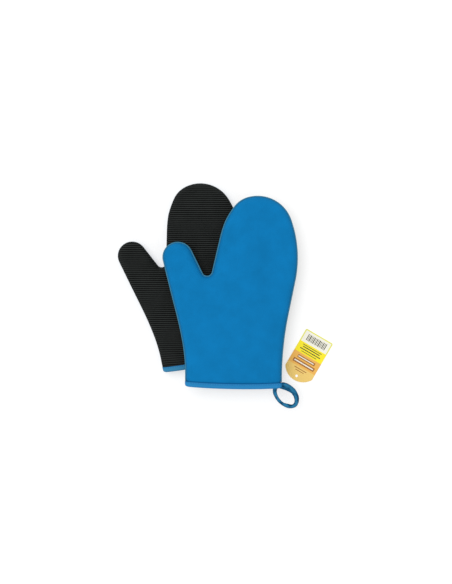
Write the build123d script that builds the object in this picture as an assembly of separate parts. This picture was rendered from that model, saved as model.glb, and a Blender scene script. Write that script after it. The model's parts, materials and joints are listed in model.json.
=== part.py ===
from build123d import *
import os
from math import atan2, cos, degrees, hypot, radians, sin, sqrt

# A pair of padded mitts and their swing tag, lying on a flat surface.
# The left mitt lies palm up. The right mitt lies palm down, partly on top of it.
# Row frame: +Z up, origin on the surface under the middle of the left mitt's palm.
# All lengths are in millimetres and all angles in degrees.

# ---- outline of the full-size mitt, palm up: cuff at the origin, fingers +Y, thumb -X ----
CUFF_THUMB_X = -70.0          # thumb side of the cuff
CUFF_OUTER_X = 69.5           # little-finger side of the cuff
CUFF_BOW = 3.0                # the mouth's edge is this much lower at its middle
THUMB_SWEEP_R = 212.0         # hollow curve from the cuff out to the thumb
THUMB_SWEEP_Y = 22.0          # height at which that curve starts
THUMB_TIP = (-81.0, 191.5)    # centre of the round thumb tip
THUMB_TIP_R = 22.0
CROTCH = (-38.5, 172.0)       # centre of the round between thumb and fingers
CROTCH_R = 7.5
FINGER_TIP = (35.0, 229.5)    # centre of the round finger end
FINGER_TIP_R = 51.0
BULGE_R = 166.0               # full curve down the little-finger side
BULGE_ANGLE = 19.5            # where it leaves the finger round, above the X axis
OUTER_SWEEP_R = 470.0         # hollow curve down to the cuff
OUTER_RUN = 50.0              # straight run between those two curves

# ---- build-up of the walls, from the outside in ----
MITT_THICK = 22.0             # palm face to back face
EDGE_ROLL = 9.0               # radius of the rolled outer edge
PANEL = 3.5                   # neoprene panel, with the grip face on the palm
RIB_HEIGHT = 0.8              # ribs of the grip face
GRIP_SHEET = 0.6              # rubber under the ribs
WADDING = 2.0
LINING = 1.0
RIB_PITCH = 3.0
RIB_FOOT = 1.8                # width of a rib where it leaves the sheet
RIB_TOP = 1.2                 # width of a rib at its crest

# ---- cuff binding and hanging loop ----
TAPE = 1.4                    # thickness of the folded binding tape
BINDING_WIDTH = 8.0
BINDING_INNER = 1.0           # thickness of the leg inside the mouth
LOOP_HALF_LONG = 18.3         # centre line of the oval loop
LOOP_HALF_SHORT = 12.1
LOOP_TURN = -45.0             # direction of its long axis
LOOP_OFFSET = (6.3, -8.5)     # its centre, from the outer corner of the cuff
LOOP_WIDTH = 5.8
LOOP_THICK = 1.8

# ---- swing tag ----
TAG_WIDTH = 45.5
TAG_STRAIGHT = 62.0           # length of the sides, up to the arched end
TAG_ARCH = 13.0               # rise of the arched end
TAG_THICK = 0.5
TAG_CORNER_R = 2.0
TAG_HOLE_R = 2.0
TAG_HOLE_INSET = 7.0          # hole's centre, from the tip of the arch

# ---- how the pieces lie ----
LEFT_RATIO = 0.95             # the left mitt's outline, as a share of the right one's
LEFT_LEAN = 11.9              # turned left, seen from above
LEFT_PALM_Y = 110.0           # palm centre of the full-size outline
RIGHT_CUFF_FROM_LEFT = (36.5, -32.1)
TAG_CORNER_AT = (166.2, -47.1)
TAG_TURN = -30.3

# ---- clearances and cutting tools ----
LAY_GAP = 0.3                 # right mitt above the left one
FLEX_GAP = 0.3                # between the hand and thumb sections
LOOP_GAP = 0.6                # between a loop and the cuff that it is sewn to
THUMB_AXIS = 108.0            # direction in which the thumb points
OVERRUN = 30.0                # how far cutting tools and open ends run past the work
SAME_POINT = 0.001            # points nearer than this are one point

LEAST_SOLID = 1.0             # chips smaller than this, in cubic millimetres, are cutting waste
ROLL_BEVEL = 2 - sqrt(2)      # bevel that touches a roll, as a share of the roll's radius

MID = MITT_THICK / 2
GRIP = RIB_HEIGHT + GRIP_SHEET
DEPTH_WADDING = PANEL
DEPTH_LINING = PANEL + WADDING
DEPTH_POCKET = PANEL + WADDING + LINING


def rounds(size, inset):
    """Rounds of the outline as (centre, signed radius), left turns positive, in travel order.

    The travel is up the thumb side, over the top and down the outer side, so the mitt lies to the
    right of it and moving inwards adds the inset to every signed radius.
    """
    lean = radians(BULGE_ANGLE)
    back = BULGE_R - FINGER_TIP_R
    bulge = (FINGER_TIP[0] - back * cos(lean), FINGER_TIP[1] - back * sin(lean))
    sweep_x = CUFF_OUTER_X + OUTER_SWEEP_R
    drop = sqrt((BULGE_R + OUTER_SWEEP_R) ** 2 + OUTER_RUN**2 - (sweep_x - bulge[0]) ** 2)
    pattern = [
        ((CUFF_THUMB_X - THUMB_SWEEP_R, THUMB_SWEEP_Y), THUMB_SWEEP_R),
        (THUMB_TIP, -THUMB_TIP_R),
        (CROTCH, CROTCH_R),
        (FINGER_TIP, -FINGER_TIP_R),
        (bulge, -BULGE_R),
        ((sweep_x, bulge[1] - drop), OUTER_SWEEP_R),
    ]
    return [((x * size, y * size), r * size + inset) for (x, y), r in pattern]


def heading_between(first, second):
    """Direction of the straight run that leaves one round and meets the next, in degrees."""
    (ax, ay), ar = first
    (bx, by), br = second
    across = br - ar
    along = sqrt(max(0.0, (bx - ax) ** 2 + (by - ay) ** 2 - across**2))
    along = along if along > SAME_POINT else 0.0
    return degrees(atan2(by - ay, bx - ax) - atan2(across, along))


def on_round(centre, radius, heading):
    """Point of a round where the travel has the given heading."""
    turn = radians(heading)
    return (centre[0] + radius * sin(turn), centre[1] - radius * cos(turn))


def outline(size=1.0, inset=0.0):
    """Face of the mitt seen from above, run on below the mouth so that it can be trimmed."""
    chain = rounds(size, inset)
    headings = [90.0]
    headings += [heading_between(a, b) for a, b in zip(chain, chain[1:])]
    headings += [-90.0]
    foot_left = (CUFF_THUMB_X * size + inset, -OVERRUN)
    foot_right = (CUFF_OUTER_X * size - inset, -OVERRUN)
    edges = []
    at = foot_left
    for (centre, radius), arrive, leave in zip(chain, headings, headings[1:]):
        start = on_round(centre, radius, arrive)
        if hypot(start[0] - at[0], start[1] - at[1]) > SAME_POINT:
            edges.append(Line(at, start))
        side = 90.0 if radius > 0 else -90.0
        edges.append(CenterArc(centre, abs(radius), arrive - side, leave - arrive))
        at = on_round(centre, radius, leave)
    edges += [Line(at, foot_right), Line(foot_right, foot_left)]
    return make_face(edges)


def pillow(size, inset):
    """Block of the mitt's shape, a given depth below its outer skin.

    The skin's rim is rolled. The sheets under it have a flat bevel that touches the same roll.
    """
    block = extrude(Pos(0, 0, inset) * outline(size, inset), MITT_THICK - 2 * inset)
    faces = block.faces().sort_by(Axis.Z)
    rim = [edge for face in (faces[0], faces[-1]) for edge in face.edges()]
    rim = [edge for edge in rim if edge.center().Y > SAME_POINT - OVERRUN]
    roll = EDGE_ROLL - inset
    return fillet(rim, roll) if inset == 0 else chamfer(rim, roll * ROLL_BEVEL)


def above_mouth(size, rise):
    """Everything more than a given rise above the bowed edge of the mouth."""
    half = (CUFF_OUTER_X - CUFF_THUMB_X) / 2 * size
    radius = (half**2 + CUFF_BOW**2) / (2 * CUFF_BOW)
    middle = (CUFF_OUTER_X + CUFF_THUMB_X) / 2 * size
    return Pos(middle, radius, MID) * Cylinder(radius - rise, MITT_THICK + 2 * OVERRUN)


def half_space(size, palm):
    """The palm half (upper) or back half (lower) of the mitt's block."""
    reach = 2 * (FINGER_TIP[1] + FINGER_TIP_R + OVERRUN) * size
    half = Box(reach, reach, MID, align=(Align.CENTER, Align.CENTER, Align.MIN))
    return Pos(0, 0, MID if palm else 0) * half


def thumb_block(size, gap):
    """Block that takes in the thumb beyond the flex line through the crotch."""
    reach = (hypot(*THUMB_TIP) - hypot(*CROTCH) + 3 * THUMB_TIP_R) * size
    along = reach + OVERRUN
    corner = (Align.MIN, Align.MIN, Align.CENTER)
    block = Box(along + gap, reach + OVERRUN, MITT_THICK + 2 * OVERRUN, align=corner)
    root = Pos(CROTCH[0] * size, CROTCH[1] * size, MID) * Rot(0, 0, THUMB_AXIS)
    return root * Pos(-gap, 0, 0) * block


def rib_cutter(size, turn):
    """Rake whose teeth cut the grooves between the ribs, inside the rolled rim of the grip face.

    Its profile lies in Y and Z and is drawn out across the mitt. One rib stands between two teeth.
    """
    low = MITT_THICK - RIB_HEIGHT
    count = int((FINGER_TIP[1] + FINGER_TIP_R + 2 * OVERRUN) * size / RIB_PITCH)
    profile = [(-OVERRUN, low)]
    for k in range(count):
        middle = (k + 0.5) * RIB_PITCH - OVERRUN
        profile.append((middle - RIB_FOOT / 2, low))
        profile.append((middle - RIB_TOP / 2, MITT_THICK))
        profile.append((middle + RIB_TOP / 2, MITT_THICK))
        profile.append((middle + RIB_FOOT / 2, low))
    end = count * RIB_PITCH - OVERRUN
    profile += [(end, low), (end, MITT_THICK + RIB_PITCH), (-OVERRUN, MITT_THICK + RIB_PITCH)]
    face = make_face(Plane.YZ * Polyline(*profile, close=True))
    reach = (FINGER_TIP[0] + FINGER_TIP_R + OVERRUN) * size
    rake = Rot(0, 0, turn) * extrude(face, reach * 2, both=True)
    return rake & extrude(outline(size, EDGE_ROLL), MITT_THICK + RIB_PITCH)


def tidy(shape):
    """The solids of a shape as one compound, or the solid itself when there is one."""
    solids = [piece for piece in shape.solids() if piece.volume > LEAST_SOLID]
    return solids[0] if len(solids) == 1 else Compound(children=solids)


def cuff_binding(size, skin):
    """Folded tape round the mouth: a leg outside, the fold over the edge, and a leg inside."""
    wall = pillow(size, TAPE) - pillow(size, DEPTH_POCKET)
    wall = wall & above_mouth(size, TAPE)
    band = (skin & above_mouth(size, 0)) - above_mouth(size, BINDING_WIDTH)
    return tidy(band - wall - pillow(size, DEPTH_POCKET + BINDING_INNER))


def hanging_loop(size):
    """Oval of folded tape, its two ends butted against the corner of the cuff."""
    centre = (CUFF_OUTER_X * size + LOOP_OFFSET[0], LOOP_OFFSET[1])
    half = LOOP_WIDTH / 2
    oval = Ellipse(LOOP_HALF_LONG + half, LOOP_HALF_SHORT + half)
    hole = Ellipse(LOOP_HALF_LONG - half, LOOP_HALF_SHORT - half)
    place = Pos(*centre, MID - LOOP_THICK / 2) * Rot(0, 0, LOOP_TURN)
    ring = place * extrude(oval - hole, LOOP_THICK)
    mitt = extrude(outline(size, -LOOP_GAP), MITT_THICK) & above_mouth(size, -LOOP_GAP)
    return max((ring - mitt).solids(), key=lambda piece: piece.volume)


def mitt(size, rib_turn):
    """All pieces of one mitt, palm up in its own frame, as a dictionary of name to shape."""
    skin = pillow(size, 0)
    levels = [
        ("panel", PANEL, skin),
        ("wadding", DEPTH_LINING, pillow(size, DEPTH_WADDING)),
        ("lining", DEPTH_POCKET, pillow(size, DEPTH_LINING)),
    ]
    binding = cuff_binding(size, skin)
    trimmed = above_mouth(size, TAPE)
    below_grip = pillow(size, GRIP)
    sheets = {}
    for palm, side in ((True, "palm"), (False, "back")):
        half = half_space(size, palm)
        for layer, depth, outer in levels:
            if palm and layer == "panel":
                outer = below_grip
            sheet = (outer - pillow(size, depth)) & trimmed & half
            if layer == "panel" and not palm:
                sheet = sheet - binding
            sheets[f"{side}_{layer}"] = sheet
    grip = (skin - below_grip) & half_space(size, True) & above_mouth(size, BINDING_WIDTH)
    sheets["grip_face"] = grip - rib_cutter(size, rib_turn)
    thumb = thumb_block(size, 0)
    thumb_and_gap = thumb_block(size, FLEX_GAP)
    pieces = {"cuff_binding": binding, "hanging_loop": hanging_loop(size)}
    for name, sheet in sheets.items():
        pieces[name] = tidy(sheet - thumb_and_gap)
        pieces[f"thumb_{name}"] = tidy(sheet & thumb)
    return pieces


def swing_tag():
    """Card with an arched, punched end, its first corner at the origin and its length along -Y."""
    tip = -TAG_STRAIGHT - TAG_ARCH
    arch = ThreePointArc((TAG_WIDTH, -TAG_STRAIGHT), (TAG_WIDTH / 2, tip), (0, -TAG_STRAIGHT))
    sides = Polyline((0, -TAG_STRAIGHT), (0, 0), (TAG_WIDTH, 0), (TAG_WIDTH, -TAG_STRAIGHT))
    card = extrude(make_face([*sides.edges(), arch]), TAG_THICK)
    corners = [edge for edge in card.edges().filter_by(Axis.Z) if edge.center().Y > -TAG_CORNER_R]
    card = fillet(corners, TAG_CORNER_R)
    hole = Pos(TAG_WIDTH / 2, tip + TAG_HOLE_INSET, TAG_THICK / 2) * Cylinder(TAG_HOLE_R, 2 * TAG_THICK)
    return card - hole


lean = radians(LEFT_LEAN)
palm = LEFT_PALM_Y * LEFT_RATIO
left_cuff = (palm * sin(lean), -palm * cos(lean))
right_cuff = (left_cuff[0] + RIGHT_CUFF_FROM_LEFT[0], left_cuff[1] + RIGHT_CUFF_FROM_LEFT[1])
left_place = Pos(*left_cuff, 0) * Rot(0, 0, LEFT_LEAN)
right_place = Pos(*right_cuff, MITT_THICK + LAY_GAP)
tag_place = Pos(*TAG_CORNER_AT, 0) * Rot(0, 0, TAG_TURN)

parts = {}
for name, piece in mitt(LEFT_RATIO, -LEFT_LEAN).items():
    parts[f"left_{name}"] = left_place * piece
for name, piece in mitt(1.0, 0.0).items():
    parts[f"right_{name}"] = right_place * mirror(piece, Plane.XY.offset(MID))
parts["swing_tag"] = tag_place * swing_tag()

os.makedirs("parts", exist_ok=True)
for name, piece in parts.items():
    export_step(piece, f"parts/{name}.step")
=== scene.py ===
"""Visual model of a pair of padded heat resistant mitts and their swing tag.

The left mitt lies palm up with its ribbed rubber grip showing. The right mitt lies palm down on it,
with its smooth knit-faced back showing. Both have a bound cuff and a hanging loop of folded tape.
"""

import json
import logging
import math
from dataclasses import dataclass, field
from enum import Enum
from typing import Any, Iterable, Optional, Sequence

import bmesh
import bpy
import numpy as np
from bmesh.types import BMEdge, BMesh, BMFace, BMVert
from bpy.types import Material, Node, NodeSocket, NodeTree, Object
from mathutils import Matrix, Vector, noise
from mathutils.bvhtree import BVHTree
from mathutils.kdtree import KDTree


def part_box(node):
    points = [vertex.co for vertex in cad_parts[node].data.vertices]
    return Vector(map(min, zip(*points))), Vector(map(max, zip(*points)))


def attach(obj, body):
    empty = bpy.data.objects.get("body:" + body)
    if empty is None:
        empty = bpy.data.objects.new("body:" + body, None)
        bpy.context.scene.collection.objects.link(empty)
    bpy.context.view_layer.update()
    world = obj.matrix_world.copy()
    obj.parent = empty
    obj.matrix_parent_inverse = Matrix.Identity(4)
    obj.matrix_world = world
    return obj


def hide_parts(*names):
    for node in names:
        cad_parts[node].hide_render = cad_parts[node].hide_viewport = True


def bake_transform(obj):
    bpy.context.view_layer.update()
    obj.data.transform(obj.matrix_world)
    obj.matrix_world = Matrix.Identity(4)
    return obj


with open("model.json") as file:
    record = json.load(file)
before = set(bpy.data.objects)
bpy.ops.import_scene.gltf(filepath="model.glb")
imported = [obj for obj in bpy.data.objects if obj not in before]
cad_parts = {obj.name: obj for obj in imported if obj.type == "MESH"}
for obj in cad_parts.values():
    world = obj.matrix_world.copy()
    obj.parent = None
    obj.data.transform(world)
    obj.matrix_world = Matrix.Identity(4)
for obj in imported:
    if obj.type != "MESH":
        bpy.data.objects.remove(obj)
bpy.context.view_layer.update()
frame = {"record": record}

log = logging.getLogger("mitts")

MM = 0.001
MITT_THICK = 22.0
MID = MITT_THICK / 2
BED = 30.0  # how far a sheet runs on below the mouth before it is trimmed
SAME_POINT = 0.05
SEAM = 1.5  # how far inside the cut edge the layers are sewn
WAVE_SCALE = 0.314  # over a pitch, the scale of a wave texture whose bands are that far apart


class Side(Enum):
    """Which hand a mitt is for."""

    LEFT = "left"
    RIGHT = "right"


class Half(Enum):
    """The two faces of a mitt. The value is the direction that each looks in, palm up."""

    PALM = 1.0
    BACK = -1.0


# ---------------------------------------------------------------- finishes


def linear(hex_colour: str) -> tuple[float, float, float, float]:
    """Turns an sRGB hex colour to linear light.

    Args:
        hex_colour: Six hex digits, such as "0a78b6".

    Returns:
        Red, green, blue and an alpha of one.
    """
    parts = [int(hex_colour[i : i + 2], 16) / 255 for i in (0, 2, 4)]
    light = [c / 12.92 if c <= 0.04045 else ((c + 0.055) / 1.055) ** 2.4 for c in parts]
    return (light[0], light[1], light[2], 1.0)


def configure(owner: Any, **settings: Any) -> None:
    """Sets properties by name."""
    for name, value in settings.items():
        setattr(owner, name, value)


def empty_tree(owner: Any) -> NodeTree:
    """The node tree of a material or a world, with nothing in it yet."""
    owner.use_nodes = True
    owner.node_tree.nodes.clear()
    return owner.node_tree


def add_node(tree: NodeTree, kind: str, settings: Optional[dict] = None, **inputs: Any) -> Any:
    """Adds a node with its settings and links.

    Args:
        tree: The node tree that it goes into.
        kind: Its type, without the words ShaderNode.
        settings: Its own properties by name.
        **inputs: Values or sockets for its inputs. "Base_Color" stands for "Base Color" and "i0"
            for the first input.

    Returns:
        The node.
    """
    node = tree.nodes.new("ShaderNode" + kind)
    configure(node, **(settings or {}))
    for name, value in inputs.items():
        numbered = name[0] == "i" and name[1:].isdigit()
        socket = node.inputs[int(name[1:]) if numbered else name.replace("_", " ")]
        if isinstance(value, NodeSocket):
            tree.links.new(value, socket)
        else:
            socket.default_value = value
    return node


def mix_colours(tree: NodeTree, share: Any, first: Any, second: Any) -> Any:
    """A socket that goes from the first colour to the second as the share goes from 0 to 1."""
    return add_node(tree, "Mix", {"data_type": "RGBA"}, i0=share, i6=first, i7=second).outputs[2]


def compute(tree: NodeTree, operation: str, first: Any, second: Any) -> Any:
    """A socket with the result of one operation, such as "MULTIPLY"."""
    return add_node(tree, "Math", {"operation": operation}, i0=first, i1=second).outputs[0]


def kept_value(tree: NodeTree, name: str) -> Any:
    """The socket of a value that the mesh keeps for each vertex, such as "crease"."""
    return add_node(tree, "Attribute", {"attribute_name": name}).outputs["Fac"]


@dataclass(frozen=True)
class Finish:
    """A surface's colours and the way it takes light. Each subclass adds its own pattern."""

    name: str
    colour: str
    roughness: float = 0.9
    sheen: float = 0.0
    gloss: float = 0.12

    def material(self) -> Material:
        """The material, made the first time that it is asked for."""
        made = bpy.data.materials.get(self.name)
        if made:
            return made
        made = bpy.data.materials.new(self.name)
        tree = empty_tree(made)
        shader = add_node(
            tree,
            "BsdfPrincipled",
            Base_Color=linear(self.colour),
            Roughness=self.roughness,
            Sheen_Weight=self.sheen,
            Sheen_Roughness=0.5,
            Specular_IOR_Level=self.gloss,
        )
        add_node(tree, "OutputMaterial", Surface=shader.outputs["BSDF"])
        self.pattern(tree, shader)
        return made

    def pattern(self, tree: NodeTree, shader: Node) -> None:
        """Adds the finish's own pattern. A plain finish has none."""

    def cloth_place(self, tree: NodeTree) -> Any:
        """The socket of the piece's own cloth map, which is in metres."""
        return add_node(tree, "UVMap", {"uv_map": "Cloth"}).outputs["UV"]

    def emboss(
        self, tree: NodeTree, shader: Node, height: Any, strength: float, depth: float
    ) -> None:
        """Roughens the surface by a height socket, as deep as the depth in millimetres."""
        lumps = add_node(tree, "Bump", Strength=strength, Distance=depth * MM, Height=height)
        tree.links.new(lumps.outputs[0], shader.inputs["Normal"])


@dataclass(frozen=True)
class KnitNeoprene(Finish):
    """Stretch jersey bonded to neoprene foam: matt, even, with fine columns of stitches.

    Real stitches are 0.5 mm wide. They are drawn 1.4 mm wide, which is as coarse as they need to be
    to show at all.
    """

    dull: str = "0673ae"
    shadow: str = "05629b"
    stitch: float = 1.4 * MM

    def pattern(self, tree: NodeTree, shader: Node) -> None:
        """Adds soft blotches of dye, painted shadow in the groove beside the binding and the columns of
        stitches.
        """
        place = self.cloth_place(tree)
        blotch = add_node(tree, "TexNoise", Vector=place, Scale=38.0, Detail=3.0, Roughness=0.55)
        fleck = add_node(tree, "TexNoise", Vector=place, Scale=1 / self.stitch, Detail=1.0)
        both = add_node(
            tree, "Mix", {"data_type": "FLOAT"}, Factor=0.35, i2=blotch.outputs[0], i3=fleck.outputs[0]
        )
        spread = add_node(tree, "MapRange", Value=both.outputs[0], From_Min=0.35, From_Max=0.65)
        dyed = mix_colours(tree, spread.outputs[0], linear(self.dull), linear(self.colour))
        # Painted shadow: the knit darkens to the shadow colour where the mesh marks the groove beside the
        # binding.
        shade = mix_colours(tree, kept_value(tree, "crease"), dyed, linear(self.shadow))
        tree.links.new(shade, shader.inputs["Base Color"])
        scale = WAVE_SCALE / self.stitch
        wales = add_node(
            tree, "TexWave", {"bands_direction": "X"}, Vector=place, Scale=scale, Distortion=1.5, Detail=1.0
        )
        self.emboss(tree, shader, wales.outputs[1], 0.25, 0.25)


@dataclass(frozen=True)
class RibbedRubber(Finish):
    """Moulded silicone-rubber grip: nearly black, with painted shade in the grooves that leaves the crests
    paler.
    """

    # Colour of the painted shade in the grooves.
    groove: str = "010101"
    dust: str = "5a5d5c"
    dusting: float = 0.06

    def pattern(self, tree: NodeTree, shader: Node) -> None:
        """Adds painted shade in the grooves, so the crests stay paler, and a faint powdery bloom."""
        # Painted shade: the grooves go nearly black, and the crests keep the grip's own colour.
        tone = mix_colours(tree, kept_value(tree, "crest"), linear(self.groove), linear(self.colour))
        bloom = add_node(tree, "TexNoise", Vector=self.cloth_place(tree), Scale=45.0, Detail=4.0)
        amount = add_node(
            tree, "MapRange", Value=bloom.outputs[0], From_Min=0.3, From_Max=0.8, To_Max=self.dusting
        )
        dusted = mix_colours(tree, amount.outputs[0], tone, linear(self.dust))
        tree.links.new(dusted, shader.inputs["Base Color"])


@dataclass(frozen=True)
class WovenTape(Finish):
    """Folded bias tape: a fine diagonal weave, with painted shade in its folds.

    The real threads are 0.3 mm apart. They are drawn 0.9 mm apart so that they show.
    """

    # Colour of the painted shade in the tape's folds and along its edges.
    fold: str = "12609a"
    thread: float = 0.9 * MM

    def pattern(self, tree: NodeTree, shader: Node) -> None:
        """Adds the diagonal weave and the painted shade in the folds."""
        place = self.cloth_place(tree)
        scale = WAVE_SCALE / self.thread
        weave = add_node(
            tree, "TexWave", {"bands_direction": "DIAGONAL"}, Vector=place, Scale=scale, Distortion=0.6
        )
        # Painted shade: the tape darkens where the mesh marks shade in its folds and along its edges.
        tone = mix_colours(tree, kept_value(tree, "crease"), linear(self.colour), linear(self.fold))
        tree.links.new(tone, shader.inputs["Base Color"])
        self.emboss(tree, shader, weave.outputs[1], 0.35, 0.2)


@dataclass(frozen=True)
class SoftFibre(Finish):
    """Brushed jersey or needled felt: a fuzzy, uneven surface."""

    fibre: float = 1.5 * MM

    def pattern(self, tree: NodeTree, shader: Node) -> None:
        """Adds the fuzz."""
        fuzz = add_node(tree, "TexNoise", Vector=self.cloth_place(tree), Scale=1 / self.fibre, Detail=3.0)
        self.emboss(tree, shader, fuzz.outputs[0], 0.5, 0.4)


@dataclass(frozen=True)
class PrintedCard(Finish):
    """Coated card printed in plain flat bands, with nothing on it to read.

    The card's map is in metres: across the card, and down it from its top edge.
    """

    panel: str = "f7f5e6"
    band: str = "ffee33"
    low: str = "f2b95e"
    foot: str = "f3cf78"
    mark: str = "a8703c"
    ink: str = "4b4a3c"

    def band_mask(self, tree: NodeTree, along: Any, start: float, end: float) -> Any:
        """A socket that is one between two places along the card, in metres."""
        after = compute(tree, "GREATER_THAN", along, start)
        return compute(tree, "MULTIPLY", after, compute(tree, "LESS_THAN", along, end))

    def pattern(self, tree: NodeTree, shader: Node) -> None:
        """Paints the border, the panel with its bars, and the bands with their plain rules.

        Each layer is its left, right, top and bottom in millimetres, and its colour.
        """
        parts = add_node(tree, "SeparateXYZ", Vector=self.cloth_place(tree))
        across, along = parts.outputs["X"], parts.outputs["Y"]
        paint = linear(self.colour)
        layers = [
            (1.6, 43.9, 1.6, 19.0, self.panel),
            (0.0, 45.5, 19.0, 35.0, self.band),
            (0.0, 45.5, 35.0, 54.0, self.low),
            (0.0, 45.5, 54.0, 80.0, self.foot),
            (7.0, 39.0, 21.6, 22.6, self.ink),
            (9.0, 37.0, 24.4, 25.8, self.ink),
            (6.0, 40.0, 28.0, 29.4, self.ink),
            (10.0, 35.5, 31.6, 32.6, self.ink),
            (9.0, 38.0, 38.4, 43.0, self.mark),
            (5.5, 41.0, 45.2, 51.0, self.mark),
            (10.0, 36.0, 40.0, 41.4, self.panel),
            (7.5, 39.0, 47.2, 48.9, self.panel),
            (13.0, 33.0, 56.4, 57.6, self.mark),
            (16.0, 30.0, 59.6, 60.6, self.mark),
        ]
        bar_widths = (1.2, 0.7, 1.6, 0.7, 0.9, 1.5, 0.7, 1.2, 0.8, 1.6, 0.9, 0.7, 1.4, 0.8, 1.2)
        at, bar_gap = 7.5, 1.1
        for wide in bar_widths:
            layers.append((at, at + wide, 5.0, 15.0, self.ink))
            at += wide + bar_gap
        for left, right, top, bottom, colour in layers:
            over = self.band_mask(tree, along, top * MM, bottom * MM)
            beside = self.band_mask(tree, across, left * MM, right * MM)
            paint = mix_colours(tree, compute(tree, "MULTIPLY", over, beside), paint, linear(colour))
        tree.links.new(paint, shader.inputs["Base Color"])


BLUE_KNIT = KnitNeoprene("Blue knit neoprene", "087cbc", 0.95)
BLACK_FOAM = SoftFibre("Black neoprene foam", "1c1e1d", 0.9)
GRIP_RUBBER = RibbedRubber("Ribbed silicone rubber", "2c2f2e", 0.7, gloss=0.05)
FELT = SoftFibre("Needled felt wadding", "d8d5cc", 0.95)
LINING = SoftFibre("Brushed cotton lining", "3c4248", 0.95, 0.2)
CUFF_TAPE = WovenTape("Blue binding tape", "2a88c4", 0.85)
FADED_TAPE = WovenTape("Paler blue binding tape", "3a86b0", 0.85)
# The loop tape's fold colour is its painted shade, darker than the binding's.
LOOP_TAPE = WovenTape("Blue loop tape", "2d7ca6", 0.85, fold="023d60")
# The turned seam is real; its grey-blue colour paints the sheen and edge shade of the rolled edge at a
# grazing angle.
SEAM_WITH_PAINTED_SHEEN = SoftFibre("Turned seam greyed by painted sheen", "3b809f", 0.9)
DARK_SEAM = SoftFibre("Turned seam in black thread", "2a2e2e", 0.9)
PALE_THREAD = SoftFibre("Blue sewing thread", "3f9bd6", 0.6)
TAG_CARD = PrintedCard("Coated card", "e9e75c", 0.45)


# ---------------------------------------------------------------- mesh tools


def all_of(bm: BMesh) -> list:
    """Every vertex, edge and face of a mesh in one list."""
    return [*bm.verts, *bm.edges, *bm.faces]


def with_rims(faces: Iterable) -> list:
    """Faces together with their edges and vertices, each once."""
    return list({g for f in faces for g in (*f.verts, *f.edges, f)})


def only(kind: type, geom: Iterable) -> list:
    """The elements of one kind, such as the vertices, out of a mixed list."""
    return [g for g in geom if isinstance(g, kind)]


def nearest_of(points: Sequence) -> KDTree:
    """A tree that finds the nearest of some points by its number."""
    tree = KDTree(len(points))
    for k, point in enumerate(points):
        tree.insert(point, k)
    tree.balance()
    return tree


def heading(path: Sequence[Vector], k: int) -> Vector:
    """Direction of travel at one point of a path."""
    return (path[min(k + 1, len(path) - 1)] - path[max(k - 1, 0)]).normalized()


def facing(x: Sequence[float], y: Sequence[float], z: Sequence[float]) -> Matrix:
    """A turn that takes the three axes to these directions."""
    return Matrix((x, y, z)).transposed().to_4x4()


def smooth_step(value: float) -> float:
    """Eases from 0 to 1 as the value goes from 0 to 1, and stays there outside."""
    t = min(1.0, max(0.0, value))
    return t * t * (3 - 2 * t)


def cut(bm: BMesh, geom: list, point: Sequence[float], normal: Sequence[float], **clear: bool) -> list:
    """Cuts part of a mesh with a plane.

    Args:
        bm: The mesh.
        geom: The vertices, edges and faces to cut.
        point: A point of the plane.
        normal: The plane's normal.
        **clear: clear_inner or clear_outer, to throw one side away.

    Returns:
        The same part of the mesh after the cut.
    """
    return bmesh.ops.bisect_plane(bm, geom=geom, dist=1e-3, plane_co=point, plane_no=normal, **clear)["geom"]


def draw_line(
    bm: BMesh, at: BMVert, end: Vector, spacing: float = math.inf
) -> BMVert:
    """Draws a straight run in even steps.

    Args:
        bm: The mesh.
        at: The vertex that it starts from.
        end: Where it ends.
        spacing: Greatest length of a step.

    Returns:
        The vertex at its end.
    """
    steps = max(1, math.ceil((end - at.co).length / spacing))
    start = at.co.copy()
    for k in range(steps):
        at = bmesh.ops.extrude_vert_indiv(bm, verts=[at])["verts"][0]
        at.co = start.lerp(end, (k + 1) / steps)
    return at


def draw_arc(
    bm: BMesh, at: BMVert, centre: Sequence[float], angle: float, steps: int
) -> BMVert:
    """Draws an arc from a vertex round a centre.

    Args:
        bm: The mesh.
        at: The vertex that it starts from.
        centre: The centre's X and Y.
        angle: How far it turns, left turns positive.
        steps: How many edges it has.

    Returns:
        The vertex at its end.
    """
    spun = bmesh.ops.spin(
        bm, geom=[at], cent=(*centre, 0), axis=(0, 0, 1), dvec=(0, 0, 0), angle=angle, steps=steps
    )
    return spun["geom_last"][0]


def thicken(bm: BMesh, faces: list, height: float) -> None:
    """Draws flat faces up into a slab."""
    grown = bmesh.ops.extrude_face_region(bm, geom=faces)["geom"]
    bmesh.ops.translate(bm, verts=only(BMVert, grown), vec=(0, 0, height))


def add_stitch(bm: BMesh, place: Matrix, half_size: tuple[float, float, float]) -> None:
    """Adds one stitch, a small rounded lump of this half size."""
    stitch = bmesh.ops.create_icosphere(bm, subdivisions=1, radius=1.0)["verts"]
    bmesh.ops.transform(bm, matrix=place @ Matrix.Diagonal((*half_size, 1)), verts=stitch)


def sweep(bm: BMesh, section: list, frames: Sequence[Matrix]) -> None:
    """Draws a section out along a row of frames, and closes both ends.

    Args:
        bm: The mesh.
        section: Edges of the closed section, in the XY plane.
        frames: Places of the section. Its own Z axis runs along the path.
    """
    verts = list({v for e in section for v in e.verts})
    bmesh.ops.transform(bm, matrix=frames[0], verts=verts)
    first, last = section, section
    for before, after in zip(frames, frames[1:]):
        made = bmesh.ops.extrude_edge_only(bm, edges=last)["geom"]
        verts, last = only(BMVert, made), only(BMEdge, made)
        bmesh.ops.transform(bm, matrix=after @ before.inverted(), verts=verts)
    bmesh.ops.holes_fill(bm, edges=[e for e in [*first, *last] if e.is_boundary])
    bmesh.ops.recalc_face_normals(bm, faces=bm.faces)


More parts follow.
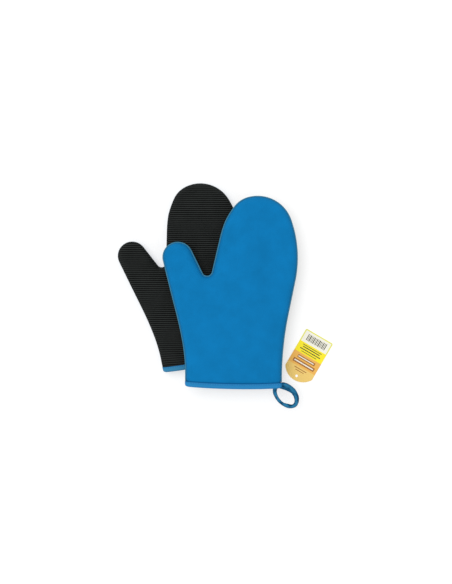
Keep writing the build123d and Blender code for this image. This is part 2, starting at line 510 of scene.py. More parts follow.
def rounded_section(bm: BMesh, wide: float, thick: float, sides: int = 12) -> list:
    """Adds a closed flattened ring, the section of a folded tape or a rolled seam.

    Args:
        bm: The mesh.
        wide: Its width along X.
        thick: Its thickness along Y.
        sides: How many edges it has.

    Returns:
        Its edges.
    """
    made = bmesh.ops.create_circle(bm, segments=sides, radius=1.0)["verts"]
    for v in made:
        bulge = max(abs(v.co.x), abs(v.co.y))
        v.co *= (1 + bulge) / (2 * bulge)
        v.co.x *= wide / 2
        v.co.y *= thick / 2
    return list({e for v in made for e in v.link_edges})


def map_cloth(bm: BMesh) -> None:
    """Writes each vertex's place in the mitt's own frame to a cloth map, in metres."""
    layer = bm.loops.layers.uv.get("Cloth") or bm.loops.layers.uv.new("Cloth")
    for face in bm.faces:
        for loop in face.loops:
            loop[layer].uv = (loop.vert.co.x * MM, (loop.vert.co.y + loop.vert.co.z) * MM)


# ---------------------------------------------------------------- pattern


@dataclass(frozen=True)
class Ease:
    """A place where the sewn edge is drawn in a little from the pattern, in millimetres."""

    centre: tuple[float, float]
    spread: tuple[float, float]
    shift: float

    def at(self, x: float, y: float) -> float:
        """How far across the mitt a point moves."""
        (cx, cy), (wide, tall) = self.centre, self.spread
        return self.shift * math.exp(-(((x - cx) / wide) ** 2 + ((y - cy) / tall) ** 2) / 2)


@dataclass(frozen=True)
class MittPattern:
    """The outline that a mitt is cut to, in millimetres: cuff at the origin, fingers +Y, thumb -X."""

    size: float = 1.0
    cuff_thumb_x: float = -70.0
    cuff_outer_x: float = 69.5
    cuff_bow: float = 2.2
    cuff_lift: float = 1.4
    cuff_skew: float = -1.5
    thumb_sweep: tuple[float, float] = (212.0, 22.0)  # radius, and where it starts up the side
    thumb_tip: tuple[float, float] = (-81.0, 191.5)
    thumb_tip_r: float = 22.0
    crotch: tuple[float, float] = (-38.5, 172.0)
    crotch_r: float = 7.5
    finger_tip: tuple[float, float] = (35.0, 229.5)
    finger_tip_r: float = 51.0
    bulge_r: float = 166.0
    bulge_angle: float = 19.5
    outer_sweep_r: float = 470.0
    outer_run: float = 50.0
    thumb_axis: float = 108.0
    flex_cut: float = -7.8  # where the thumb's pieces part from the hand's, along the thumb
    flex_span: tuple[float, float] = (-7.5, 14.0)
    bow_reach: float = 60.0
    widest_step: float = 7.0  # greatest turn between two points on a curve, in degrees
    eases: tuple[Ease, ...] = (
        Ease((-10.0, 258.0), (17.0, 14.0), 3.6),
        Ease((-81.0, 88.0), (15.0, 28.0), 1.5),
        Ease((-90.0, 130.0), (18.0, 50.0), 1.2),
    )

    def rounds(self, inset: float) -> list[tuple[tuple[float, float], float]]:
        """The outline's rounds in travel order.

        Args:
            inset: How far inside the outline to go.

        Returns:
            Centre and signed radius of each, left turns positive.
        """
        lean = math.radians(self.bulge_angle)
        back = self.bulge_r - self.finger_tip_r
        bulge = (self.finger_tip[0] - back * math.cos(lean), self.finger_tip[1] - back * math.sin(lean))
        sweep_x = self.cuff_outer_x + self.outer_sweep_r
        reach = (self.bulge_r + self.outer_sweep_r) ** 2 + self.outer_run**2
        drop = math.sqrt(reach - (sweep_x - bulge[0]) ** 2)
        thumb_r, thumb_y = self.thumb_sweep
        chain = [
            ((self.cuff_thumb_x - thumb_r, thumb_y), thumb_r),
            (self.thumb_tip, -self.thumb_tip_r),
            (self.crotch, self.crotch_r),
            (self.finger_tip, -self.finger_tip_r),
            (bulge, -self.bulge_r),
            ((sweep_x, bulge[1] - drop), self.outer_sweep_r),
        ]
        return [((x * self.size, y * self.size), r * self.size + inset) for (x, y), r in chain]

    def draw(self, bm: BMesh, inset: float, spacing: float = 3.0) -> BMFace:
        """Draws the outline as one face, run on below the mouth.

        Args:
            bm: The mesh that it goes into.
            inset: How far inside the outline to go.
            spacing: Greatest distance between its points on a curve.

        Returns:
            The face. Its vertices were made in travel order, from the thumb side of the cuff.
        """
        chain = self.rounds(inset)
        headings = [90.0]
        for ((ax, ay), ar), ((bx, by), br) in zip(chain, chain[1:]):
            across = br - ar
            along = math.sqrt(max(0.0, (bx - ax) ** 2 + (by - ay) ** 2 - across**2))
            along = along if along > SAME_POINT else 0.0
            headings.append(math.degrees(math.atan2(by - ay, bx - ax) - math.atan2(across, along)))
        headings.append(-90.0)
        first = bm.verts.new((self.cuff_thumb_x * self.size + inset, -BED, 0))
        at = first
        for ((cx, cy), radius), arrive, leave in zip(chain, headings, headings[1:]):
            turn = math.radians(arrive)
            start = Vector((cx + radius * math.sin(turn), cy - radius * math.cos(turn), 0))
            if (start - at.co).length > SAME_POINT:
                at = draw_line(bm, at, start, spacing * 2)
            sweep_angle = math.radians(leave - arrive)
            steps = max(2, math.ceil(abs(sweep_angle * radius) / spacing))
            steps = max(steps, math.ceil(abs(leave - arrive) / self.widest_step))
            at = draw_arc(bm, at, (cx, cy), sweep_angle, steps)
        foot = Vector((self.cuff_outer_x * self.size - inset, -BED, 0))
        at = draw_line(bm, at, foot, spacing * 2)
        bmesh.ops.contextual_create(bm, geom=[at, first])
        return bmesh.ops.contextual_create(bm, geom=list(bm.edges))["faces"][0]

    def points(self, inset: float, spacing: float = 3.0) -> list[Vector]:
        """The outline's points above the mouth, from the thumb side round to the outer side."""
        bm = bmesh.new()
        self.draw(bm, inset, spacing)
        found = [v.co.copy() for v in bm.verts]
        bm.free()
        found = [p for p in found if p.y > SAME_POINT]
        left, right = self.cuff_thumb_x * self.size + inset, self.cuff_outer_x * self.size - inset
        return [Vector((left, 0, 0)), *found, Vector((right, 0, 0))]

    def footprint(self, inset: float) -> list[Vector]:
        """The outline's points all the way round, with the mouth's edge in even steps."""
        side = self.points(inset)
        steps = round((side[-1] - side[0]).length / 3)
        return side + [side[-1].lerp(side[0], k / steps) for k in range(1, steps)]

    def bow(self, bm: BMesh) -> None:
        """Bows and tilts the mouth, fading out up the cuff, and draws in the eased places."""
        middle = (self.cuff_thumb_x + self.cuff_outer_x) / 2 * self.size
        half = (self.cuff_outer_x - self.cuff_thumb_x) / 2 * self.size
        for v in bm.verts:
            x, y = v.co.x / self.size, v.co.y / self.size
            fade = 1 - smooth_step(v.co.y / self.bow_reach)
            v.co.x += sum(ease.at(x, y) for ease in self.eases)
            side = (v.co.x - middle) / half
            v.co.y += (self.cuff_lift + self.cuff_skew * side + self.cuff_bow * min(1.2, side**2)) * fade

    def thumb_place(self, along: float) -> Vector:
        """A point on the thumb's axis line, so far beyond the crotch."""
        turn = math.radians(self.thumb_axis)
        root = Vector((*self.crotch, 0)) * self.size
        return root + Vector((math.cos(turn), math.sin(turn), 0)) * along


@dataclass(frozen=True)
class Lie:
    """How one mitt lies in the row frame."""

    side: Side
    palm_up: bool
    cuff: Vector
    lean: float

    @classmethod
    def from_record(cls, side: Side, palm_up: bool) -> "Lie":
        """Reads the place of a mitt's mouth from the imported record.

        Args:
            side: Which mitt.
            palm_up: Whether its palm looks up.

        Returns:
            The mitt's place.
        """
        mount = next(m for m in frame["record"]["mounts"] if m["name"] == f"{side.value}_mouth")
        axis = mount["axis"]
        return cls(side, palm_up, Vector(mount["pos_m"]), math.atan2(axis[0], -axis[1]))

    def matrix(self) -> Matrix:
        """Takes the mitt's own frame, in millimetres and palm up, to the row frame in metres."""
        flip = Matrix.Diagonal((MM, MM, MM if self.palm_up else -MM, 1))
        centre = Matrix.Translation((0, 0, -MID))
        return Matrix.Translation(self.cuff) @ Matrix.Rotation(self.lean, 4, "Z") @ flip @ centre


# ---------------------------------------------------------------- inflation


@dataclass
class PuffedForm:
    """Inflates the closed mitt as cloth, and says how far each face swells out of its flat state."""

    pattern: MittPattern
    seed: float
    half_height: float = 8.0
    voxel: float = 6.0
    pressure: float = 4.0
    cap: float = 2.7
    dimple: float = 0.55
    dimple_size: tuple[float, float] = (46.0, 60.0)
    face_from: float = 2.0  # a point further than this from the middle plane lies on a face
    held_band: float = 4.5  # a point nearer to it than this is held by the seam
    swell_fade: float = 22.0
    edge_round: float = 5.0
    near_points: int = 10
    softness: float = 9.0
    frames: int = 20
    trees: dict = field(default_factory=dict)

    def inflate(self) -> None:
        """Runs the cloth once and keeps how far each point of it moved."""
        start, end = self.simulate()
        for half in Half:
            rows = [i for i, p in enumerate(start) if (p[2] - MID) * half.value > self.face_from]
            lifts = [(end[i][2] - start[i][2]) * half.value for i in rows]
            moves = [self.cap * math.tanh(max(0.0, lift) / self.cap) for lift in lifts]
            self.trees[half] = (nearest_of([(*start[i][:2], 0) for i in rows]), moves)

    def rest_mesh(self) -> Object:
        """The mitt's block, a little thin, remeshed to an even net, in metres."""
        bm = bmesh.new()
        thicken(bm, [self.pattern.draw(bm, SEAM, 4.0)], 2 * self.half_height)
        bmesh.ops.translate(bm, verts=bm.verts, vec=(0, 0, MID - self.half_height))
        rim = [e for e in bm.edges if abs(e.verts[0].co.z - e.verts[1].co.z) < SAME_POINT]
        shape = {"offset_type": "OFFSET", "affect": "EDGES", "segments": 2, "profile": 0.5, "material": -1}
        bmesh.ops.bevel(bm, geom=rim, offset=self.edge_round, **shape)
        bmesh.ops.recalc_face_normals(bm, faces=bm.faces)
        bmesh.ops.scale(bm, vec=(MM, MM, MM), verts=bm.verts)
        block = new_object(bm, "form", None)
        net = block.modifiers.new("net", "REMESH")
        configure(net, mode="VOXEL", voxel_size=self.voxel * MM)
        return bake(block)

    def simulate(self) -> tuple[list, list]:
        """Blows the form up with its seam held.

        Returns:
            The points in millimetres before and after.
        """
        form = self.rest_mesh()
        start = [tuple(c / MM for c in v.co) for v in form.data.vertices]
        held = form.vertex_groups.new(name="held")
        held.add([i for i, p in enumerate(start) if abs(p[2] - MID) < self.held_band], 1.0, "REPLACE")
        cloth = form.modifiers.new("swell", "CLOTH")
        configure(
            cloth.settings,
            quality=6,
            mass=0.2,
            tension_stiffness=25,
            compression_stiffness=25,
            shear_stiffness=12,
            bending_stiffness=1.2,
            use_pressure=True,
            uniform_pressure_force=self.pressure,
            vertex_group_mass="held",
        )
        cloth.settings.effector_weights.gravity = 0
        cloth.collision_settings.use_collision = False
        configure(cloth.point_cache, frame_start=1, frame_end=self.frames)
        for number in range(1, self.frames + 1):
            bpy.context.scene.frame_set(number)
        blown = form.evaluated_get(bpy.context.evaluated_depsgraph_get())
        end = [tuple(c / MM for c in v.co) for v in blown.data.vertices]
        bpy.context.scene.frame_set(1)
        bpy.data.objects.remove(form)
        return start, end

    def height(self, half: Half, x: float, y: float, rise: float) -> float:
        """How far a face stands off the middle plane.

        Args:
            half: Which face.
            x: Place across the mitt.
            y: Place up the mitt.
            rise: Share of the flat height reached at this place, 0 at the seam.

        Returns:
            The distance in millimetres.
        """
        tree, moves = self.trees[half]
        near = tree.find_n((x, y, 0), self.near_points)
        weights = [1 / (d * d + self.softness) for _, _, d in near]
        swell = sum(w * moves[k] for w, (_, k, _) in zip(weights, near)) / sum(weights)
        wide, tall = self.dimple_size
        spot = Vector((x / wide + self.seed, y / tall, half.value * 3.1))
        dent = noise.noise(spot) * self.dimple + noise.noise(spot * 2.7) * self.dimple * 0.35
        return rise * (self.half_height + dent) + swell * min(1.0, rise * 1.4)


def add_object(name: str, data: Any) -> Object:
    """Puts a new object with its data in the scene."""
    made = bpy.data.objects.new(name, data)
    bpy.context.scene.collection.objects.link(made)
    return made


def new_object(bm: BMesh, name: str, finish: Optional[Finish]) -> Object:
    """Turns a mesh to an object in the scene, smooth shaded.

    Args:
        bm: The mesh, which is freed.
        name: The object's name.
        finish: Its finish, or None for a working shape.

    Returns:
        The object.
    """
    mesh = bpy.data.meshes.new(name)
    bm.to_mesh(mesh)
    bm.free()
    made = add_object(name, mesh)
    mesh.shade_smooth()
    if finish:
        mesh.materials.append(finish.material())
    return made


def bake(made: Object) -> Object:
    """Applies an object's modifiers to its mesh."""
    bpy.context.view_layer.update()
    done = bpy.data.meshes.new_from_object(made.evaluated_get(bpy.context.evaluated_depsgraph_get()))
    made.modifiers.clear()
    made.data = done
    return made


# ---------------------------------------------------------------- how the upper mitt settles


@dataclass
class Settle:
    """Lets the upper mitt sink where nothing lies under it."""

    support: np.ndarray
    drop: float = 6.5 * MM
    reach: float = 48 * MM
    batch: int = 4000

    def sink(self, co: np.ndarray) -> np.ndarray:
        """How far points sink.

        Args:
            co: Points in the row frame, one a row.

        Returns:
            One distance for each.
        """
        gaps = np.sqrt(((co[:, None, :2] - self.support[None]) ** 2).sum(2)).min(1)
        a, b = self.support, np.roll(self.support, -1, axis=0)
        rows = (a[None, :, 1] > co[:, None, 1]) != (b[None, :, 1] > co[:, None, 1])
        slope = (b[:, 0] - a[:, 0]) / np.where(abs(b[:, 1] - a[:, 1]) < 1e-12, 1e-12, b[:, 1] - a[:, 1])
        cross = a[None, :, 0] + slope[None] * (co[:, None, 1] - a[None, :, 1])
        inside = (rows & (co[:, None, 0] < cross)).sum(1) % 2 == 1
        t = np.where(inside, 0, np.clip(gaps / self.reach, 0, 1))
        return self.drop * t * t * (3 - 2 * t)

    def apply(self, bm: BMesh) -> None:
        """Sinks every vertex of a mesh that is already in the row frame."""
        verts = list(bm.verts)
        for start in range(0, len(verts), self.batch):
            some = verts[start : start + self.batch]
            for v, drop in zip(some, self.sink(np.array([v.co for v in some], float))):
                v.co.z -= drop


# ---------------------------------------------------------------- sheets


@dataclass(frozen=True)
class Ribs:
    """The moulded ribs of the grip face. They run along the row's X axis."""

    pitch: float = 3.0
    foot: float = 1.8
    top: float = 1.2
    height: float = 0.8

    def cuts(self) -> tuple[float, ...]:
        """Where one rib's lines lie within its pitch."""
        gap, slope = (self.pitch - self.foot) / 2, (self.foot - self.top) / 2
        return (gap, gap + slope, self.pitch - gap - slope, self.pitch - gap)

    def crest(self, place: float) -> float:
        """One on a crest and zero in a groove, for a place across the ribs."""
        lines = self.cuts()
        return float(np.interp(place % self.pitch, (0, *lines, self.pitch), (0, 0, 1, 1, 0, 0)))


@dataclass
class SheetMaker:
    """Cuts the sheets of one mitt from its pattern and lays them on the puffed form."""

    pattern: MittPattern
    form: PuffedForm
    lie: Lie
    settle: Optional[Settle]
    seam: float = SEAM
    roll: float = 9.0

    def half_sheet(
        self,
        half: Half,
        depth: float,
        cell: float,
        rings: int,
        ribs: Optional[Ribs] = None,
        low: float = 2.0,
        high: Optional[float] = None,
        rim: Optional[float] = None,
    ) -> BMesh:
        """Makes one face's sheet as a skin, in the mitt's own frame.

        Args:
            half: Which face of the mitt.
            depth: How far it lies below the mitt's outer skin.
            cell: Size of its net.
            rings: How many steps its rolled edge has.
            ribs: Ribs to raise on it.
            low: Height of its lower edge above the mouth.
            high: Height of its upper edge, or None for a whole sheet.
            rim: How far its outline lies inside the pattern's, or None to leave room for its depth.

        Returns:
            The mesh, before the mouth is bowed.
        """
        bm = bmesh.new()
        rise = bm.verts.layers.float.new("rise")
        inner = self.pattern.draw(bm, self.seam + depth if rim is None else rim, 3.0)
        roll, gone = self.roll - (depth if rim is None else 0.0), 0.0
        for k in range(1, rings + 1):
            turn = math.pi / 2 * k / rings
            reach = roll * (1 - math.cos(turn))
            bmesh.ops.inset_region(
                bm, faces=[inner], thickness=reach - gone, use_even_offset=False, use_boundary=True
            )
            gone = reach
            for v in inner.verts:
                v[rise] = math.sin(turn)
        cut(bm, all_of(bm), (0, low, 0), (0, 1, 0), clear_inner=True)
        if high is not None:
            cut(bm, all_of(bm), (0, high, 0), (0, 1, 0), clear_outer=True)
        self.net(bm, rise, cell)
        if ribs:
            self.cut_ribs(bm, ribs)
        for v in bm.verts:
            skin = self.form.height(half, v.co.x, v.co.y, v[rise])
            v.co.z = MID + half.value * max(0.0, skin - depth * v[rise])
        bm.normal_update()
        up = sum(f.normal.z for f in bm.faces)
        if up * half.value < 0:
            bmesh.ops.reverse_faces(bm, faces=bm.faces)
            bm.normal_update()
        map_cloth(bm)
        if ribs:
            self.raise_ribs(bm, ribs, rise)
        return bm

    def net(self, bm: BMesh, rise: Any, cell: float) -> None:
        """Cuts the flat part inside the rolled edge to a square net."""
        flat = [f for f in bm.faces if all(v[rise] > 0.999 for v in f.verts)]
        geom = with_rims(flat)
        for axis in (0, 1):
            places = [v.co[axis] for v in bm.verts]
            normal = Vector((1, 0, 0) if axis == 0 else (0, 1, 0))
            low, high = min(places), max(places)
            for k in range(1, int((high - low) / cell) + 1):
                geom = cut(bm, geom, normal * (low + k * cell), normal)

    def rib_normal(self) -> Vector:
        """Direction across the ribs, in the mitt's own frame."""
        return Vector((math.sin(self.lie.lean), math.cos(self.lie.lean), 0))

    def cut_ribs(self, bm: BMesh, ribs: Ribs) -> None:
        """Cuts the sheet along every line of every rib."""
        across = self.rib_normal()
        places = [v.co.dot(across) for v in bm.verts]
        low, high = math.floor(min(places) / ribs.pitch), math.ceil(max(places) / ribs.pitch)
        geom = all_of(bm)
        for k in range(low + 1, high):
            geom = cut(bm, geom, across * (k * ribs.pitch), across)
        bands: dict[int, list] = {}
        for face in bm.faces:
            place = face.calc_center_median().dot(across)
            bands.setdefault(math.floor(place / ribs.pitch), []).append(face)
        for k, faces in bands.items():
            geom = with_rims(faces)
            for line in ribs.cuts():
                geom = cut(bm, geom, across * (k * ribs.pitch + line), across)

    def raise_ribs(self, bm: BMesh, ribs: Ribs, rise: Any) -> None:
        """Raises the crests along the sheet's normals, and marks them, so that the finish paints shade in
        the grooves between them.
        """
        across = self.rib_normal()
        mark = bm.verts.layers.float.new("crest")
        for v in bm.verts:
            crest = ribs.crest(v.co.dot(across))
            fade = smooth_step(v[rise] / 0.45)
            v[mark] = crest * fade
            v.co += v.normal * ribs.height * crest * fade

    def mark_crease(self, bm: BMesh, at: float, wide: float, press: float, half: Half) -> None:
        """Presses a shallow groove beside the binding, where the stitching pulls the sheet in, and marks it
        for painted shade.
        """
        mark = bm.verts.layers.float.new("crease")
        for step in (-1.0, -0.5, 0.0, 0.5, 1.0, 2.0, 4.0):
            cut(bm, all_of(bm), (0, at + step * wide, 0), (0, 1, 0))
        for v in bm.verts:
            amount = max(0.0, 1 - abs(v.co.y - at) / wide)
            # How much painted shade lies along the groove.
            v[mark] = smooth_step(amount * 2.0)
            v.co.z -= half.value * press * smooth_step(max(0.0, 1 - abs(v.co.y - at) / (wide * 4)))

    def split_thumb(self, bm: BMesh) -> tuple[BMesh, BMesh]:
        """Parts the thumb's piece from the hand's, just short of the crotch.

        Args:
            bm: The whole sheet, in the mitt's own frame.

        Returns:
            The hand's piece and the thumb's piece.
        """
        point = self.pattern.thumb_place(self.pattern.flex_cut)
        along = (self.pattern.thumb_place(1.0) - self.pattern.thumb_place(0.0)).normalized()
        beside = Vector((-along.y, along.x, 0))
        root = self.pattern.thumb_place(0.0)

        def on_thumb_side(face: BMFace) -> bool:
            """Whether a face lies on the thumb's side of the crotch."""
            return (face.calc_center_median() - root).dot(beside) > 0

        cut(bm, with_rims(f for f in bm.faces if on_thumb_side(f)), point, along)
        thumb = bm.copy()
        for mesh, keep_thumb in ((bm, False), (thumb, True)):
            far = [
                f
                for f in mesh.faces
                if ((f.calc_center_median() - point).dot(along) > 0 and on_thumb_side(f)) != keep_thumb
            ]
            bmesh.ops.delete(mesh, geom=far, context="FACES")
        return bm, thumb

    def lay(self, bm: BMesh, bowed: bool = True) -> None:
        """Bows the mouth, unless the piece isn't bowed, and moves the mesh to its place in the row."""
        if bowed:
            self.pattern.bow(bm)
        bmesh.ops.transform(bm, matrix=self.lie.matrix(), verts=bm.verts)
        if not self.lie.palm_up:
            bmesh.ops.reverse_faces(bm, faces=bm.faces)
        if self.settle:
            self.settle.apply(bm)
        bm.normal_update()

    def place_piece(
        self,
        bm: BMesh,
        name: str,
        finish: Finish,
        slot: str,
        body: str,
        thick: float = 0.0,
        stands_for: Iterable[str] = (),
        bends: bool = False,
        bowed: bool = True,
    ) -> Object:
        """Lays a mesh in the row and makes a piece of it.

        Args:
            bm: The mesh, in the mitt's own frame.
            name: The piece's name.
            finish: Its finish.
            slot: The record's material slot. Not used.
            body: The body that it rides on, such as "hand".
            thick: Thickness that it gains inwards, in millimetres.
            stands_for: The CAD nodes that it replaces, without the side.
            bends: Whether it is a thumb piece, which keeps its transform applied and is attached to no body.
            bowed: Whether it follows the bow of the mouth.

        Returns:
            The piece.
        """
        self.lay(bm, bowed)
        for e in bm.edges:
            e.smooth = not e.is_boundary
        side = self.lie.side.value
        piece = new_object(bm, f"{side}_{name}", finish)
        if thick:
            wall = piece.modifiers.new("wall", "SOLIDIFY")
            configure(wall, thickness=thick * MM, offset=-1, use_even_offset=False)
        if bends:
            line = [self.pattern.thumb_place(a) + Vector((0, 0, MID)) for a in self.pattern.flex_span]
            start, end = (self.lie.matrix() @ p for p in line)
            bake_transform(piece)
        else:
            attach(piece, f"{side}_{body}")
        if stands_for:
            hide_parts(*[f"{side}_{node}" for node in stands_for])
        log.info("%s: %d faces", piece.name, len(piece.data.polygons))
        return piece


# ---------------------------------------------------------------- the mitt


@dataclass(frozen=True)
class Layer:
    """One layer of a mitt's wall."""

    name: str
    half: Half
    depth: float
    thick: float
    finish: Finish
    slot: str
    cell: float
    rings: int
    ribs: Optional[Ribs] = None
    low: float = 2.0


@dataclass
class Mitt:
    """One mitt: layered walls, turned seam, bound cuff and hanging loop."""

    maker: SheetMaker
    seam_finish: Finish
    tape: Finish
    binding_width: float = 8.0
    binding_proud: float = 0.5
    binding_rim: float = -0.6
    fold_r: float = 3.6
    fold_steps: int = 8
    leg_step: float = 2.6  # the inner leg runs on up the lining in two of these
    stitch_pitch: float = 3.4
    stitch_inset: tuple[float, float] = (3.5, 1.5)  # from the cuff's sides and the binding's edge
    stitch_size: tuple[float, float, float] = (1.25, 0.4, 0.3)
    loop_half: tuple[float, float] = (19.0, 12.3)
    loop_offset: tuple[float, float] = (6.3, -9.2)
    loop_turn: float = -45.0
    loop_wide: float = 6.8
    loop_thick: float = 2.6
    loop_droop: float = 4.0
    loop_steps: int = 96
    loop_root: tuple[float, float] = (-1.6, 4.4)  # from the cuff's corner; the loop ends past it
    loop_seeds: tuple[float, float] = (4.2, 9.7)  # for the right mitt and the left

    def layers(self) -> list[Layer]:
        """The wall's layers, from the outside in."""
        rows = [
            Layer("back_panel", Half.BACK, 0.0, 3.3, BLUE_KNIT, "blue_knit_neoprene", 4.0, 8),
            Layer("grip_face", Half.PALM, 0.8, 0.55, GRIP_RUBBER, "ribbed_rubber", 6.0, 8, Ribs()),
            Layer("palm_panel", Half.PALM, 1.5, 1.9, BLACK_FOAM, "black_neoprene", 8.0, 4),
        ]
        for half, word in ((Half.BACK, "back"), (Half.PALM, "palm")):
            rows.append(Layer(f"{word}_wadding", half, 3.6, 1.8, FELT, "felt_wadding", 8.0, 4, low=9.0))
            rows.append(Layer(f"{word}_lining", half, 5.6, 0.8, LINING, "cotton_lining", 6.0, 4))
        return rows

    def build_walls(self) -> None:
        """Makes every layer's hand and thumb pieces."""
        for layer in self.layers():
            rim = self.maker.seam if layer.ribs else None
            bm = self.maker.half_sheet(
                layer.half, layer.depth, layer.cell, layer.rings, layer.ribs, low=layer.low, rim=rim
            )
            if layer.depth < 1:
                self.maker.mark_crease(bm, self.binding_width + 0.5, 1.2, 0.7, layer.half)
            hand, thumb = self.maker.split_thumb(bm)
            for part, word, bends in ((hand, "", False), (thumb, "thumb_", True)):
                name = word + layer.name
                piece = self.maker.place_piece(
                    part, name + "_cloth", layer.finish, layer.slot, "hand", layer.thick, [name], bends
                )

    def build_seam(self) -> None:
        """Makes the turned seam that shows as a thin ridge all round the mitt."""
        path = [p + Vector((0, 0, MID)) for p in self.maker.pattern.points(0.75, 2.5)]
        path = [p for p in path if p.y > self.binding_width - 3]
        frames = []
        for k, p in enumerate(path):
            along = heading(path, k)
            beside = Vector((-along.y, along.x, 0))
            frames.append(Matrix.Translation(p) @ facing(beside, (0, 0, 1), along))
        bm = bmesh.new()
        sweep(bm, rounded_section(bm, 2.3, 3.4), frames)
        map_cloth(bm)
        hand, thumb = self.maker.split_thumb(bm)
        for part, name, bends in ((hand, "turned_seam", False), (thumb, "thumb_turned_seam", True)):
            self.maker.place_piece(part, name, self.seam_finish, "binding_tape", "hand", bends=bends)

    def binding_band(self) -> BMesh:
        """The outer leg of the binding as a closed band round the mouth."""
        whole = bmesh.new()
        for half in Half:
            part = self.maker.half_sheet(
                half,
                -self.binding_proud,
                5.0,
                8,
                low=self.fold_r,
                high=self.binding_width,
                rim=self.binding_rim,
            )
            mesh = bpy.data.meshes.new("half_band")
            part.to_mesh(mesh)
            part.free()
            whole.from_mesh(mesh)
            bpy.data.meshes.remove(mesh)
        bmesh.ops.remove_doubles(whole, verts=whole.verts, dist=0.2)
        return whole

    def build_binding(self) -> None:
        """Makes the folded tape round the mouth and both rows of its stitching."""
        bm = self.binding_band()
        bm.normal_update()
        outer = BVHTree.FromBMesh(bm)
        edge = [e for e in bm.edges if e.is_boundary and all(v.co.y < self.fold_r + 0.01 for v in e.verts)]
        depth, steps = 0.0, self.fold_steps
        for k in range(1, steps + 3):
            if k <= steps:
                turn = math.pi * k / steps
                shift, y = self.fold_r * (1 - math.cos(turn)), self.fold_r * (1 - math.sin(turn))
            else:
                shift, y = self.fold_r * 2, self.fold_r + (k - steps) * self.leg_step
            normals = {}
            for e in edge:
                for v in e.verts:
                    flat = Vector((v.normal.x, 0, v.normal.z))
                    normals[v] = normals.get(v) or flat.normalized()
            made = bmesh.ops.extrude_edge_only(bm, edges=edge)["geom"]
            edge = only(BMEdge, made)
            for v in {v for e in edge for v in e.verts}:
                joined = (e.other_vert(v) for e in v.link_edges if e not in edge)
                source = next(u for u in joined if u in normals)
                v.co = v.co - normals[source] * (shift - depth)
                v.co.y = y
                v.normal = normals[source]
            depth = shift
        bmesh.ops.recalc_face_normals(bm, faces=bm.faces)
        lowest = min(bm.faces, key=lambda f: f.calc_center_median().y)
        if lowest.normal.y > 0:
            bmesh.ops.reverse_faces(bm, faces=bm.faces)
        crease = bm.verts.layers.float.new("crease")
        # Painted shade: the binding darkens towards its upper edge, where its step over the panel casts
        # shade.
        for v in bm.verts:
            v[crease] = smooth_step((v.co.y - self.binding_width + 0.9) / 0.9) * 0.5
        map_cloth(bm)
        self.maker.place_piece(
            bm, "cuff_binding_tape", self.tape, "binding_tape", "hand", 0.7, ["cuff_binding"]
        )
        self.build_stitches(outer)

    def build_stitches(self, outer: BVHTree) -> None:
        """Sews the binding down along its upper edge, on both faces of the mitt.

        Args:
            outer: The binding's outer surface, which the stitches lie on.
        """
        bm = bmesh.new()
        pattern = self.maker.pattern
        inset, drop = self.stitch_inset
        left = pattern.cuff_thumb_x * pattern.size + inset
        right = pattern.cuff_outer_x * pattern.size - inset
        count = int((right - left) / self.stitch_pitch)
        y = self.binding_width - drop
        for half in Half:
            for k in range(count + 1):
                x = left + (right - left) * k / count
                above = Vector((x, y, MID + 2 * MITT_THICK * half.value))
                hit, normal, _, _ = outer.ray_cast(above, Vector((0, 0, -half.value)))
                if hit is None:
                    continue
                along = Vector((1, 0, -normal.x / normal.z)).normalized()
                out = normal * (1 if normal.z * half.value > 0 else -1)
                turn = facing(along, out.cross(along), out)
                add_stitch(bm, Matrix.Translation(hit + out * 0.1) @ turn, self.stitch_size)
        map_cloth(bm)
        self.maker.place_piece(bm, "binding_stitches", PALE_THREAD, "binding_tape", "hand")

    def loop_path(self) -> list[Vector]:
        """Middle line of the hanging loop, from inside the cuff round and back into it."""
        pattern = self.maker.pattern
        outer_x, steps = pattern.cuff_outer_x * pattern.size, self.loop_steps
        centre = Vector((outer_x + self.loop_offset[0], self.loop_offset[1], MID))
        turn = math.radians(self.loop_turn)
        ring = []
        for k in range(steps):
            a = 2 * math.pi * k / steps
            x, y = self.loop_half[0] * math.cos(a), self.loop_half[1] * math.sin(a)
            across = x * math.cos(turn) - y * math.sin(turn)
            up = x * math.sin(turn) + y * math.cos(turn)
            ring.append(centre + Vector((across, up, 0)))
        root_x, root_y = outer_x + self.loop_root[0], self.loop_root[1]
        hidden = [p.x < root_x and p.y > root_y for p in ring]
        start = next(k for k in range(steps) if hidden[k - 1] and not hidden[k])
        shown = []
        for k in range(steps):
            if hidden[(start + k) % steps]:
                break
            shown.append(ring[(start + k) % steps])
        return shown

